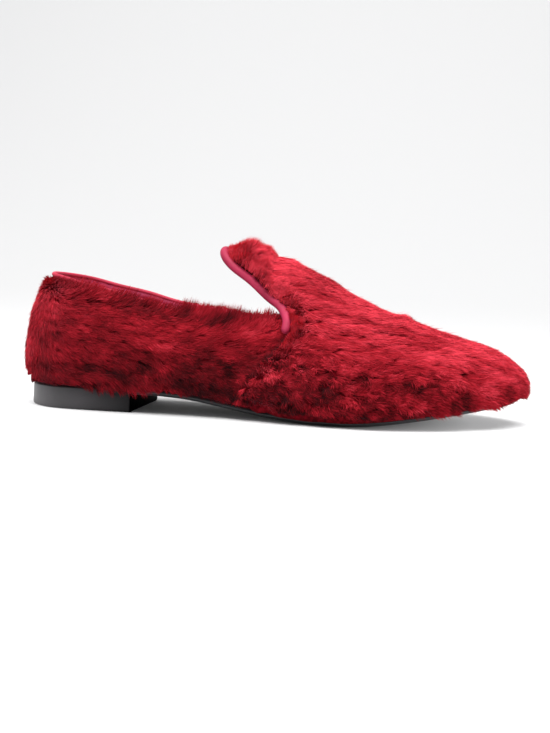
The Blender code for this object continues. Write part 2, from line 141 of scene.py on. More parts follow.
def addNode(tree, kind, **values):
    node = tree.nodes.new(kind)
    for key, value in values.items():
        if hasattr(node, key):
            setattr(node, key, value)
        else:
            node.inputs[key].default_value = value
    return node


def surfaceNoiseGroup():
    # fine grain and slow blotches shared by the leathers and the sole
    group = bpy.data.node_groups.new("surfaceNoise", "ShaderNodeTree")
    face = group.interface
    face.new_socket(name="Grain Scale", in_out="INPUT", socket_type="NodeSocketFloat").default_value = 900
    face.new_socket(name="Blotch Scale", in_out="INPUT", socket_type="NodeSocketFloat").default_value = 60
    face.new_socket(name="Grain", in_out="OUTPUT", socket_type="NodeSocketFloat")
    face.new_socket(name="Blotch", in_out="OUTPUT", socket_type="NodeSocketFloat")
    start = group.nodes.new("NodeGroupInput")
    end = group.nodes.new("NodeGroupOutput")
    place = group.nodes.new("ShaderNodeTexCoord")
    cells = group.nodes.new("ShaderNodeTexVoronoi")
    cells.feature = "SMOOTH_F1"
    fine = group.nodes.new("ShaderNodeTexNoise")
    fine.inputs["Detail"].default_value = 3
    slow = group.nodes.new("ShaderNodeTexNoise")
    slow.inputs["Detail"].default_value = 2
    blend = group.nodes.new("ShaderNodeMath")
    blend.operation = "ADD"
    link = group.links.new
    for texture in (cells, fine):
        link(place.outputs["Object"], texture.inputs["Vector"])
        link(start.outputs["Grain Scale"], texture.inputs["Scale"])
    link(place.outputs["Object"], slow.inputs["Vector"])
    link(start.outputs["Blotch Scale"], slow.inputs["Scale"])
    link(cells.outputs["Distance"], blend.inputs[0])
    link(fine.outputs["Fac"], blend.inputs[1])
    link(blend.outputs[0], end.inputs["Grain"])
    link(slow.outputs["Fac"], end.inputs["Blotch"])
    return group


surfaceNoise = surfaceNoiseGroup()


def fadeForward(tree, colour, shader, finish):
    # painted light and shade along x: each row goes from one share at its first x to another at its second,
    # and the colour and the gloss are scaled by the shares' product
    place = tree.nodes.new("ShaderNodeTexCoord")
    split = tree.nodes.new("ShaderNodeSeparateXYZ")
    tree.links.new(place.outputs["Object"], split.inputs["Vector"])
    product = addNode(tree, "ShaderNodeMath", operation="MULTIPLY")
    for socket, row in zip(product.inputs, finish["fade"]):
        share = tree.nodes.new("ShaderNodeMapRange")
        for key, value in zip(("From Min", "From Max", "To Min", "To Max"), row):
            share.inputs[key].default_value = value
        tree.links.new(split.outputs["X"], share.inputs["Value"])
        tree.links.new(share.outputs["Result"], socket)
    scaled = addNode(tree, "ShaderNodeVectorMath", operation="SCALE")
    gloss = addNode(tree, "ShaderNodeMath", operation="MULTIPLY")
    gloss.inputs[1].default_value = finish["specular"]
    tree.links.new(colour, scaled.inputs[0])
    tree.links.new(product.outputs["Value"], scaled.inputs["Scale"])
    tree.links.new(product.outputs["Value"], gloss.inputs[0])
    tree.links.new(gloss.outputs["Value"], shader.inputs["Specular IOR Level"])
    return scaled.outputs["Vector"]


def twoTones(tree, finish):
    # a ramp from the finish's dark tone to its light one
    ramp = tree.nodes.new("ShaderNodeValToRGB")
    for stop, position, tone in zip(ramp.color_ramp.elements, (0.35, 0.65), ("dark", "light")):
        stop.position = position
        stop.color = (*finish[tone], 1)
    return ramp


def setGloss(shader, finish):
    shader.inputs["Roughness"].default_value = finish["roughness"]
    shader.inputs["Specular IOR Level"].default_value = finish["specular"]


def addBump(tree, shader, height, finish):
    bump = addNode(tree, "ShaderNodeBump", Strength=finish["bump"], Distance=finish["depth"])
    tree.links.new(height, bump.inputs["Height"])
    tree.links.new(bump.outputs["Normal"], shader.inputs["Normal"])


def leatherMaterial(name, finish):
    # two tones in slow blotches, with a fine grain in the bump
    made, tree, shader = newMaterial(name)
    noise = tree.nodes.new("ShaderNodeGroup")
    noise.node_tree = surfaceNoise
    noise.inputs["Grain Scale"].default_value = finish["grainScale"]
    noise.inputs["Blotch Scale"].default_value = finish["blotchScale"]
    ramp = twoTones(tree, finish)
    tree.links.new(noise.outputs["Blotch"], ramp.inputs["Fac"])
    addBump(tree, shader, noise.outputs["Grain"], finish)
    setGloss(shader, finish)
    colour = ramp.outputs["Color"]
    if "fade" in finish:
        colour = fadeForward(tree, colour, shader, finish)
    tree.links.new(colour, shader.inputs["Base Color"])
    return made


def pileMaterial(name, finish):
    # the pile's colour goes from dark at the root to bright at the tip, as painted shade and painted light,
    # and differs lock by lock
    made, tree, shader = newMaterial(name)
    tone = addNode(tree, "ShaderNodeAttribute", attribute_name="tone")
    ramp = tree.nodes.new("ShaderNodeValToRGB")
    stops = ramp.color_ramp.elements
    while len(stops) < len(finish["tones"]):
        stops.new(0.5)
    for stop, (position, colour) in zip(stops, finish["tones"]):
        stop.position = position
        stop.color = (*colour, 1)
    tree.links.new(tone.outputs["Fac"], ramp.inputs["Fac"])
    tree.links.new(ramp.outputs["Color"], shader.inputs["Base Color"])
    setGloss(shader, finish)
    shader.inputs["Sheen Weight"].default_value = finish["sheen"]
    shader.inputs["Sheen Roughness"].default_value = finish["sheenRoughness"]
    shader.inputs["Sheen Tint"].default_value = (*finish["sheenTint"], 1)
    return made


pileLook = {
    "tones": [
        (0.00, (0.018, 0.0008, 0.0014)),
        (0.10, (0.055, 0.0008, 0.0020)),
        (0.30, (0.160, 0.0022, 0.0060)),
        (0.60, (0.370, 0.0070, 0.0160)),
        # the pale, pinker top stop is a painted sheen on the lit tips and tops
        (1.00, (0.690, 0.0440, 0.0700)),
    ],
    "roughness": 0.85,
    "specular": 0.10,
    "sheen": 0.12,
    "sheenRoughness": 0.5,
    "sheenTint": (1.0, 0.25, 0.35),
}
pile = pileMaterial("shearlingPile", pileLook)
print("materials ready")


# Soft noise in space, the same on every run

hashSteps = (374761393, 668265263, 1274126177)
seedStep = 974711
keptBits = 0x7FFFFFFF


def latticeValue(cell, seed):
    # a fixed value between -1 and 1 for each cell, scattered by the large odd steps
    mixed = sum(cell[:, k] * step for k, step in enumerate(hashSteps)) + seed * seedStep
    mixed = mixed & keptBits
    mixed = ((mixed ^ (mixed >> 13)) * hashSteps[2]) & keptBits
    return ((mixed ^ (mixed >> 16)) & 0xFFFF) / 32767.5 - 1


def softNoise(points, size, seed):
    # between about -1 and 1, with swells of the given size
    place = points / size
    cell = np.floor(place).astype(np.int64)
    part = place - cell
    part = part * part * (3 - 2 * part)
    total = np.zeros(len(points))
    for corner in np.ndindex(2, 2, 2):
        weight = np.prod(np.where(corner, part, 1 - part), axis=1)
        total += weight * latticeValue(cell + np.array(corner), seed)
    return total * 1.5


def noiseSum(points, rows):
    # each row has a height, a size and a seed
    return sum(height * softNoise(points, size, seed) for height, size, seed in rows)


def streaks(points, flow, width, reach, seed):
    # noise drawn out along the pile
    steps = np.linspace(-reach, reach, max(3, int(2 * reach / width) + 1))
    total = sum(softNoise(points + flow * step, width, seed) for step in steps)
    return total / math.sqrt(len(steps)) * 0.9


# The fleece: the wall itself, under the strands

fleece = {
    "skin": 1.8 * mm,           # the skin's own thickness
    "leastWall": 1.4 * mm,      # the fleece never comes nearer than this to the inside
    "pile": (0.2 * mm, 7.5 * mm),
    "deeper": 0.9 * mm,         # how much evening out may deepen the pile
    "depthRounds": 3,
    "sink": 0.45,               # share of the pile's depth that the fleece lies under its top
    "smoothing": 6,
    "edgePile": 0.5 * mm,       # pile thinner than this is an edge and keeps its place
    "fullPile": 2.6 * mm,
}

# The middle of the foot's room along the shoe, to tell outside from inside
room = {
    "places": [0.0, 0.09, 0.15, 0.205],
    "heights": [0.036, 0.034, 0.022, 0.021],
    "toeSwing": 4 * mm,
    "swingFrom": 0.16,
    "swingTo": 0.24,
}
# A ray from the outside towards that middle measures the wall
probe = {"start": 0.3 * mm, "longest": 18 * mm, "leastSlant": 0.55}


def roomAxis(points):
    axis = np.zeros_like(points)
    axis[:, 0] = np.clip(points[:, 0], room["places"][0], room["places"][-1])
    axis[:, 1] = room["toeSwing"] * smoothStep(room["swingFrom"], room["swingTo"], points[:, 0])
    axis[:, 2] = np.interp(axis[:, 0], room["places"], room["heights"])
    return axis


def readWall():
    # the upper's points, normals and thickness; what the room's middle can't see is the outside
    wall = copyNode("upper", "fleece")
    mesh = wall.data
    points, normals = pointsOf(mesh), pointsOf(mesh, "normal")
    tree = BVHTree.FromPolygons([Vector(p) for p in points], [tuple(f.vertices) for f in mesh.polygons])
    toAxis = unit(roomAxis(points) - points)
    thickness = np.zeros(len(points))
    for k in range(len(points)):
        start = Vector(points[k] + toAxis[k] * probe["start"])
        hit = tree.ray_cast(start, Vector(toAxis[k]), probe["longest"])
        if hit[0] is not None:
            slant = max(-(normals[k] @ toAxis[k]), probe["leastSlant"])
            thickness[k] = (hit[3] + probe["start"]) * slant
    return wall, points, normals, thickness, thickness > 0


wall, wallPoints, wallNormals, wallThickness, wallOutside = readWall()
pileDepth = np.where(wallOutside, np.clip(wallThickness - fleece["skin"], *fleece["pile"]), 0)
edges = np.array([e.vertices[:] for e in wall.data.edges])


def spread(values, mask, rounds):
    # averages a value with that of its neighbours, among the masked points only
    values = values.copy()
    shape = (slice(None),) + (None,) * (values.ndim - 1)
    pairs = edges[mask[edges[:, 0]] & mask[edges[:, 1]]]
    for _ in range(rounds):
        total = np.zeros_like(values)
        count = np.zeros(len(values))
        for a, b in ((0, 1), (1, 0)):
            np.add.at(total, pairs[:, a], values[pairs[:, b]])
            np.add.at(count, pairs[:, a], 1)
        near = total / np.maximum(count, 1)[shape]
        values = np.where((mask & (count > 0))[shape], 0.5 * values + 0.5 * near, values)
    return values


evenDepth = spread(pileDepth, wallOutside, fleece["depthRounds"])
smoothDepth = np.minimum(evenDepth, pileDepth + fleece["deeper"])
freedom = smoothStep(fleece["edgePile"], fleece["fullPile"], smoothDepth)[:, None]
smoothOutside = wallPoints + (spread(wallPoints, wallOutside, fleece["smoothing"]) - wallPoints) * freedom
smoothNormals = unit(spread(wallNormals, wallOutside, fleece["smoothing"]))


def outsideTriangles():
    # the CAD upper's own triangles, on the wall's merged points
    mesh = nodes["upper"].data
    finder = finderOf(wallPoints)
    index = np.array([finder.find(Vector(p))[1] for p in pointsOf(mesh)])
    triangles = index[np.array([f.vertices[:] for f in mesh.polygons])]
    facesDown = np.array([f.normal.z for f in mesh.polygons]) < -0.6
    return triangles[wallOutside[triangles].all(axis=1) & ~facesDown]


wallTriangles = outsideTriangles()
outsideTree = BVHTree.FromPolygons([Vector(p) for p in smoothOutside], wallTriangles.tolist())
print("outside:", len(wallTriangles), "triangles")


# Where the pile is: seam, lower edge, collar and throat

# The side seam's x at heights above the floor, in metres
seamHeights = [0.004, 0.0098, 0.0155, 0.0223, 0.0294, 0.0348, 0.0424, 0.0487, 0.0552, 0.0600]
seamPlaces = [0.0865, 0.0905, 0.0945, 0.0995, 0.1048, 0.1098, 0.1165, 0.1201, 0.1190, 0.1158]


# Above this height and in front of this x is the tongue, which counts as this far into the vamp
tongueStart = {"height": 0.060, "x": 0.07, "gap": 0.03}


def fromSeam(points):
    # how far in front of the side seam a point lies
    gap = points[:, 0] - np.interp(points[:, 2], seamHeights, seamPlaces)
    onTongue = (points[:, 2] > tongueStart["height"]) & (points[:, 0] > tongueStart["x"])
    return np.where(onTongue, tongueStart["gap"], gap)


edgeScan = {"stations": 60, "margin": 2 * mm, "reach": 7 * mm, "startHeight": 0.06}


def edgeLine(pick, mask):
    # the lowest or highest place of the pile along the shoe
    xs = np.linspace(cadLow.x + edgeScan["margin"], cadHigh.x - edgeScan["margin"], edgeScan["stations"])
    heights = [edgeScan["startHeight"]]
    for x in xs:
        near = mask & (abs(smoothOutside[:, 0] - x) < edgeScan["reach"])
        heights.append(pick(smoothOutside[near, 2]) if near.any() else heights[-1])
    return xs, np.array(heights[1:])


hemX, hemZ = edgeLine(np.min, wallOutside)
collarX, collarZ = edgeLine(np.max, wallOutside & (fromSeam(smoothOutside) < 0))
throatPoints = pointsOf(nodes["vamp_piping"].data)
throatFinder = finderOf(throatPoints)


def throatGap(points):
    return np.array([throatFinder.find(Vector(p))[2] for p in points])


# Creases and swells laid on the outer side: x and z in mm, half width, depth (below zero it rises)
creases = [
    ([(-6, 61), (10, 59), (36, 57), (50, 55), (65, 51), (78, 48)], 2.8, 1.0),
    ([(30, 45), (43, 48.5), (50, 51), (60, 54)], 1.5, 0.9),
    ([(60, 44), (67, 47), (74, 49.5), (86, 51.5)], 1.5, 0.9),
    ([(36, 36), (40, 33), (43, 29)], 1.8, 0.8),
    ([(72, 34), (81, 28), (87, 24)], 2.2, 0.9),
    ([(-24, 29), (-7, 26), (9, 25), (27, 24.5), (38, 27)], 3.0, 0.7),
    ([(-20, 47), (0, 46), (30, 41), (52, 38)], 3.2, -0.6),
    ([(-26, 20), (20, 18), (60, 14)], 3.0, -0.4),
    ([(154, 43.2), (160, 43.6), (166, 44.4)], 0.9, 1.5),
    ([(182, 43.2), (188, 42.8), (194, 43.4)], 0.8, 1.0),
    ([(196, 30.6), (205, 32.2), (214, 32.9)], 1.2, 1.2),
    ([(107, 32), (112, 30.5), (123, 28)], 2.0, 1.9),
    ([(136, 23.5), (143, 23), (151, 24.2)], 1.6, 1.7),
    ([(171, 21.8), (176, 21), (182, 22)], 1.5, 1.7),
    ([(175, 10.4), (180, 9.3), (185, 10.2)], 1.3, 1.5),
    ([(112, 37), (126, 35.2), (142, 37), (158, 34.6), (178, 33.4), (194, 30.8)], 1.7, 0.8),
    ([(128, 21), (148, 19), (163, 22), (179, 24), (194, 26), (209, 24)], 2.0, 0.9),
    ([(104, 75), (107, 72.4), (115, 64.7), (124, 57)], 1.6, 0.5),
    ([(121, 66), (140, 59.3), (153, 54.5)], 1.4, 0.7),
    ([(113, 49), (128, 47), (141, 49)], 1.5, 0.7),
    ([(150, 57), (163, 53), (176, 50)], 1.1, 0.5),
]
innerShift = 7                  # the inner side has the same creases, this far further back
creaseFade = (4 * mm, 14 * mm)  # they fade out towards the shoe's middle plane


def creaseDepth(points):
    # how deep the laid creases are at each point
    depth = np.zeros(len(points))
    flat = points[:, [0, 2]] / mm
    flat[:, 0] += np.where(points[:, 1] > 0, innerShift, 0)
    for path, halfWidth, deep in creases:
        nearest = np.full(len(points), 1e9)
        for a, b in zip(np.array(path[:-1], float), np.array(path[1:], float)):
            along = np.clip(((flat - a) @ (b - a)) / ((b - a) @ (b - a)), 0, 1)
            nearest = np.minimum(nearest, np.linalg.norm(flat - a - along[:, None] * (b - a), axis=1))
        depth += deep * np.exp(-((nearest / halfWidth) ** 2))
    return depth * smoothStep(*creaseFade, abs(points[:, 1]))


# How far the pile hangs over the sole's edge: x in metres, then mm
hem = {
    "places": [
        -0.040, 0.000, 0.003, 0.007, 0.026, 0.038, 0.048, 0.084, 0.091, 0.097,
        0.105, 0.115, 0.124, 0.166, 0.180, 0.200, 0.228, 0.240,
    ],
    "hang": [
        0.1, 0.1, 2.2, 5.8, 7.4, 7.2, 1.4, 1.4, 4.0, 3.2,
        1.2, 2.4, 0.1, 0.1, 2.8, 5.0, 5.0, 0.1,
    ],
    "least": 0.1,
    "waver": 0.8,
    "waverSize": 8 * mm,
    "reach": 11 * mm,           # how far up the pile takes part
    "ownFall": 1.5 * mm,        # a strand that points down may add this much
    "ownShare": (0.3, 0.9),
    "uneven": (0.45, 1.0),
    "behind": (0.3, 0.8),       # no overhang where the surface faces back
}

# How far the pile stands over the collar, at the back and in front, on the outer and the inner side
collar = {
    "outer": (6.6 * mm, 7.2 * mm),
    "inner": (0.4 * mm, 3.6 * mm),
    "ahead": (0.020, 0.055),    # where the back's height becomes the front's
    "reach": 8 * mm,
    "broadWaver": (1.2 * mm, 5 * mm, 42),
    "fineWaver": (0.8 * mm, 2 * mm, 43),
    "uneven": (0.6, 1.1),
    "ownRise": 1.0 * mm,
    "behind": (0.1, 0.7),
    "behindLoss": 0.75,
    "wisps": 1.2 * mm,          # a few tufts stand higher
    "wispPower": 6,
}

# Where each edge changes the pile
edgeZones = {
    "throat": (3 * mm, 12 * mm),
    "throatLoose": 0.45,
    "lip": (0.5 * mm, 6 * mm),
    "lipHeights": (0.008, 0.024),
    "lipLoose": 0.6,
    "shade": (1 * mm, 8 * mm),
    "shadeHeights": (0.004, 0.012),
    "fullPile": (0.6 * mm, 3.0 * mm),
}

# The strands of the pile

strand = {
    "perSquareMetre": 6.9e6,
    "shortest": 3.4 * mm,
    "reachPerDepth": 1.15,
    "longest": 10.5 * mm,
    "lengthSpan": (0.70, 1.12),
    "thinLength": 0.62,         # where the pile is thin, the strands are this much as long
    "looseLoss": 0.45,          # and they are shorter by these shares in loose pile,
    "throatLoss": 0.72,         # by the piping
    "throatRange": (0.1, 0.8),
    "lipLoss": 0.35,            # and on the vamp's edge at the side seam
    "width": 0.32 * mm,
    "widthSpan": (0.7, 1.3),
    # the roots' lower tone is painted shade, and the tips' extra tone below is painted light
    "levels": ((0.0, 0.9, -0.26), (0.55, 1.0, 0.0)),    # share of the length, width, tone
    "paintedTipLight": 0.12,
    "middle": 0.55,
    "bow": 0.26,                # share of the pile's depth that the middle stands out
    "rootDepth": 0.70,          # share of the pile's depth that the root lies under its top
    "rollSpread": 0.40,
    "seed": 5,
}
tuft = {
    "perSquareMetre": 90000,
    "looseShare": 0.25,         # share of the tufts that the loose parts leave out
    "stretch": 0.45,            # tufts are longer along the shoe than across it
    "ahead": 0.8,               # a strand joins the tuft this share of its length ahead
    "radius": 0.6,              # share of the tufts' usual distance
    "pull": (0.18, 0.40),       # how far strands lean to their tuft, combed and loose
    "pullSpan": (0.1, 1.0),
    "mostPull": 0.9,
    "pullLoss": (0.85, 0.4, 0.75),      # at the throat, the seam's lip and the hem
    "alone": 0.45,              # share of the strands that lean to no tuft
    "turn": (0.12, 0.75),       # how far a tuft turns off the flow, combed and loose
    "strandTurn": (0.07, 0.37),
    "lipShare": (0.3, 1.0),
    "rise": 0.8 * mm,
    "riseShare": (0.18, 1.0),
    "coreSize": 1.25,
    "coreLeast": -0.8,
}
squeeze = np.array([tuft["stretch"], 1, 1])
# The way that strands turn at the vamp's edge on the seam, by the piping and at the collar
edgeTurns = ((-0.75, 0, 0.10), (-0.6, 0, 0.40), (0, 0, 0.30))
# What lifts or lowers the strands' tips
tipLift = {
    "mean": 0.05 * mm,
    "spread": 0.26 * mm,
    "strays": 0.015,            # share of the strands that stand out by themselves
    "strayLift": (0.4 * mm, 2.2 * mm),
    "lip": 1.2 * mm,
    "shade": 0.8 * mm,
    "thinShare": 0.25,
    "throat": 0.6,
    "throatPile": 4.6 * mm,
    "collarOuter": 1.5 * mm,
    "collarInner": 0.4 * mm,
    "hem": 0.5 * mm,
    "toe": 2.4 * mm,
    "toeFacing": (0.55, 0.97),
}


def gather(faces, bary, values):
    shape = (slice(None),) + (None,) * (values.ndim - 1)
    return sum(values[faces[:, k]] * bary[:, k][shape] for k in range(3))


def scatter(perSquareMetre, chance):
    # places on the outside: position, normal and pile depth, evenly spread by area
    a, b, c = (smoothOutside[wallTriangles[:, k]] for k in range(3))
    area = np.linalg.norm(np.cross(b - a, c - a), axis=1) / 2
    count = np.floor(area * perSquareMetre + chance.random(len(area))).astype(int)
    chosen = np.repeat(np.arange(len(area)), count)
    u, v = chance.random(len(chosen)), chance.random(len(chosen))
    over = u + v > 1
    u[over], v[over] = 1 - u[over], 1 - v[over]
    bary = np.stack([1 - u - v, u, v], axis=1)
    faces = wallTriangles[chosen]
    return (
        gather(faces, bary, smoothOutside),
        unit(gather(faces, bary, smoothNormals)),
        gather(faces, bary, smoothDepth),
    )


# Where the pile is loose: the vamp below its combed top, and a little at the quarter's foot
loosePile = {
    "topPlaces": [0.09, 0.15, 0.20, 0.235],
    "topHeights": [0.047, 0.037, 0.030, 0.020],
    "topBlend": (-0.007, 0.006),
    "toePlaces": (0.205, 0.235),
    "toeLoss": 0.5,
    "vampLeast": 0.06,
    "quarterLeast": 0.12,
    "quarterFoot": 0.42,
    "footHeights": (0.024, 0.040),
    "footPlaces": (-0.01, 0.05),
}


def looseness(points):
    # 0 where the pile is combed flat, 1 where it stands in loose tufts
    x, z = points[:, 0], points[:, 2]
    vampTop = np.interp(x, loosePile["topPlaces"], loosePile["topHeights"])
    onVamp = 1 - smoothStep(*loosePile["topBlend"], z - vampTop)
    onVamp *= 1 - loosePile["toeLoss"] * smoothStep(*loosePile["toePlaces"], x)
    foot = (1 - smoothStep(*loosePile["footHeights"], z)) * smoothStep(*loosePile["footPlaces"], x)
    onQuarter = loosePile["quarterFoot"] * foot + loosePile["quarterLeast"]
    return np.where(fromSeam(points) > 0, np.maximum(onVamp, loosePile["vampLeast"]), onQuarter)


# The slope of the combed pile: how far it runs up for each length forwards
combing = {
    "quarterHigh": (-0.20, 0.22),           # at the back and in front
    "quarterHighPlaces": (0.040, 0.066),
    "quarterLow": (-0.38, -0.22),
    "quarterLowPlaces": (0.05, 0.09),
    "quarterHeights": (0.018, 0.046),
    "vamp": -0.12,
    "vampHigh": -0.22,
    "vampHighHeights": (0.040, 0.060),
    "vampLow": -0.40,
    "vampLowHeights": (0.010, 0.030),
    "waver": [(0.20, 17 * mm, 11), (0.10, 6 * mm, 12)],
    "sideways": [(0.12, 15 * mm, 13)],
    "behind": (0.05, 0.85),                 # where the surface faces back, the pile is combed
    "behindWay": (0.25, 0, -0.9),           # this way
}


def flowAt(points, normals):
    # the way the pile is combed
    x, z = points[:, 0], points[:, 2]
    quarterHigh = between(*combing["quarterHigh"], smoothStep(*combing["quarterHighPlaces"], x))
    quarterLow = between(*combing["quarterLow"], smoothStep(*combing["quarterLowPlaces"], x))
    quarterSlope = between(quarterLow, quarterHigh, smoothStep(*combing["quarterHeights"], z))
    vampSlope = combing["vamp"] + combing["vampHigh"] * smoothStep(*combing["vampHighHeights"], z)
    vampSlope = vampSlope + combing["vampLow"] * (1 - smoothStep(*combing["vampLowHeights"], z))
    slope = np.where(fromSeam(points) > 0, vampSlope, quarterSlope) + noiseSum(points, combing["waver"])
    flow = np.stack([np.ones_like(x), noiseSum(points, combing["sideways"]), slope], axis=1)
    behind = smoothStep(*combing["behind"], -normals[:, 0])[:, None]
    flow = unit(between(flow, np.array(combing["behindWay"]), behind))
    flow -= normals * (flow * normals).sum(1)[:, None]
    return unit(flow)


# Swells of the pile: height, size and seed, and for the streaks a width and a length
swells = {
    "broad": [(0.55 * mm, 15 * mm, 21)],
    "curls": [(0.85 * mm, 4.4 * mm, 24), (0.55 * mm, 2.2 * mm, 25)],
    "combed": (0.50 * mm, 2.6 * mm, 7 * mm, 22),
    "fine": (0.16 * mm, 1.1 * mm, 3 * mm, 23),
    "looseLoss": 0.7,           # the combed streaks are lower by this share in loose pile
    "rootShare": 0.5,           # the roots and the fleece follow this share of every swell
}


def relief(points, flow, loose):
    # how far the pile swells out or sinks in, apart from its single strands
    (combedHeight, *combed), (fineHeight, *fine) = swells["combed"], swells["fine"]
    swell = noiseSum(points, swells["broad"]) + noiseSum(points, swells["curls"]) * loose
    swell += combedHeight * streaks(points, flow, *combed) * (1 - swells["looseLoss"] * loose)
    swell += fineHeight * streaks(points, flow, *fine)
    return swell - creaseDepth(points) * mm


# Lumps along the top of the tongue: x in mm, half width, height
lumps = [
    (87.5, 2.4, 1.8), (91, 2.6, 3.6), (95.5, 3.4, 5.0), (102, 3.4, 4.6), (109, 1.8, -2.4), (116, 4, 1.8),
    (125, 7, 2.4), (138, 8, 2.4), (156, 10, 1.6), (170, 8, 0.8), (180, 4, 2.4),
]
# The tongue's top line, x and height, and how far below it the lumps reach
ridge = ([0.096, 0.115, 0.137, 0.159, 0.181, 0.202], [0.095, 0.087, 0.078, 0.066, 0.057, 0.050])
ridgeBlend = (-24 * mm, -6 * mm)


def tongueLumps(points):
    x = points[:, 0] / mm
    height = sum(tall * np.exp(-(((x - place) / halfWidth) ** 2)) for place, halfWidth, tall in lumps)
    nearRidge = smoothStep(*ridgeBlend, points[:, 2] - np.interp(points[:, 0], *ridge))
    return height * mm * nearRidge * (fromSeam(points) > 0)


def nearestOutside(points):
    return np.array([outsideTree.find_nearest(Vector(p))[0] for p in points])


# A fringe of strands between the piping and the full pile
fringe = {
    "strands": 22000,
    "choices": 5,               # how many places in the full pile a strand can lead to
    "fullPile": 3.4 * mm,       # the vamp's pile counts as full from this depth
    "pipingReach": 5 * mm,      # the piping's points within this reach average to its middle
    "pipingRadius": 2.5 * mm,
    "startSpread": 0.9 * mm,
    "placeSpread": 0.5 * mm,
    "depth": 4.6 * mm,
    "dip": 0.5 * mm,            # how far the fringe's top drops towards the piping
}


def pipingMiddles():
    found = [throatFinder.find_range(p, fringe["pipingReach"]) for p in throatPoints]
    return np.array([np.mean([hit[0] for hit in hits], axis=0) for hits in found])


def scatterFringe(chance):
    # places between the piping and the nearest full pile, lifted to the pile's top
    count, choices = fringe["strands"], fringe["choices"]
    isFull = wallOutside & (smoothDepth > fringe["fullPile"]) & (fromSeam(smoothOutside) > 0)
    full, fullNormals = smoothOutside[isFull], smoothNormals[isFull]
    finder = finderOf(full)
    starts = pipingMiddles()[chance.integers(0, len(throatPoints), count)]
    starts = starts + chance.normal(0, fringe["startSpread"], (count, 3))
    picks = chance.integers(0, choices, count)
    chosen = np.array([finder.find_n(Vector(p), choices)[k][1] for p, k in zip(starts, picks)])
    ends, normals = full[chosen], fullNormals[chosen]
    starts = starts + unit(ends - starts) * fringe["pipingRadius"]
    share = chance.random(count)[:, None]
    places = between(starts, ends, share) + chance.normal(0, fringe["placeSpread"], (count, 3))
    height = ((places - ends) * normals).sum(1, keepdims=True)
    places = places - normals * (height + fringe["dip"] * (1 - share) ** 2)
    return places, normals, np.full(count, fringe["depth"])


def surveyPlaces(points, normals, depth):
    # what the place of each strand is like: the edges count from 0 away from them to 1 on them
    x, z = points[:, 0], points[:, 2]
    front = fromSeam(points)
    vamp = front > 0
    belowCollar = np.interp(x, collarX, collarZ) - z
    aboveHem = z - np.interp(x, hemX, hemZ)
    throat = (1 - smoothStep(*edgeZones["throat"], throatGap(points))) * vamp
    lip = (1 - smoothStep(*edgeZones["lip"], front)) * smoothStep(*edgeZones["lipHeights"], z) * vamp
    shade = (1 - smoothStep(*edgeZones["shade"], -front)) * smoothStep(*edgeZones["shadeHeights"], z)
    loose = looseness(points) + edgeZones["throatLoose"] * throat + edgeZones["lipLoose"] * lip
    flow = flowAt(points, normals)
    return SimpleNamespace(
        points=points, normals=normals, depth=depth, x=x, z=z, vamp=vamp, outer=points[:, 1] < 0,
        belowCollar=belowCollar, aboveHem=aboveHem, throat=throat, lip=lip, shade=shade * ~vamp,
        collar=np.clip(1 - belowCollar / collar["reach"], 0, 1) * ~vamp,
        hem=np.clip(1 - aboveHem / hem["reach"], 0, 1),
        behind=-normals[:, 0], full=smoothStep(*edgeZones["fullPile"], depth),
        flow=flow, side=np.cross(normals, flow), loose=np.clip(loose, 0, 1),
    )


def plantTufts(chance):
    # the tufts' middles, fewer of them where the pile is loose
    centres, _, _ = scatter(tuft["perSquareMetre"], chance)
    return centres[chance.random(len(centres)) > tuft["looseShare"] * looseness(centres)]


def strandLengths(at, chance):
    length = np.clip(strand["shortest"] + at.depth * strand["reachPerDepth"], 0, strand["longest"])
    length = length * chance.uniform(*strand["lengthSpan"], len(length))
    length = length * between(strand["thinLength"], 1, at.full)
    length = length * (1 - strand["looseLoss"] * at.loose) * (1 - strand["lipLoss"] * at.lip)
    return length * (1 - strand["throatLoss"] * smoothStep(*strand["throatRange"], at.throat))


def joinTufts(at, length, centres, chance):
    # each strand's tuft, and what the strands of one tuft share
    ahead = at.points + at.flow * (length * tuft["ahead"])[:, None]
    finder = finderOf(centres * squeeze)
    owner = np.array([finder.find(Vector(p))[1] for p in ahead * squeeze])
    many = len(centres)
    return SimpleNamespace(
        centre=centres[owner],
        turn=chance.normal(0, 1, many)[owner],
        tone=chance.normal(0, 1, many)[owner],
        rise=chance.uniform(0, 1, many)[owner],
        pull=chance.uniform(*tuft["pullSpan"], many)[owner],
    )


def aimStrands(at, own, length, chance):
    # where each strand leads, and how near that is to its tuft's middle
    turn = own.turn * between(*tuft["turn"], at.loose)
    turn = turn + chance.normal(0, between(*tuft["strandTurn"], at.loose))
    aim = unit(at.flow * np.cos(turn)[:, None] + at.side * np.sin(turn)[:, None])
    shares = (at.lip * between(*tuft["lipShare"], own.rise), at.throat, at.collar)
    for way, share in zip(edgeTurns, shares):
        aim = unit(aim + np.array(way) * share[:, None])
    target = at.points + aim * length[:, None]
    toCentre = own.centre - target
    apart = np.linalg.norm(toCentre * squeeze, axis=1)
    radius = tuft["radius"] / np.sqrt(tuft["perSquareMetre"] * (1 - tuft["looseShare"] * at.loose))
    pull = between(*tuft["pull"], at.loose) * own.pull * (chance.random(len(apart)) > tuft["alone"])
    for share, loss in zip((at.throat, at.lip, at.hem), tuft["pullLoss"]):
        pull = pull * (1 - loss * share)
    target = target + toCentre * (pull * np.clip(apart / radius, 0, 1) * tuft["mostPull"])[:, None]
    return target, np.clip(1 - (apart / (radius * tuft["coreSize"])) ** 2, tuft["coreLeast"], 1)


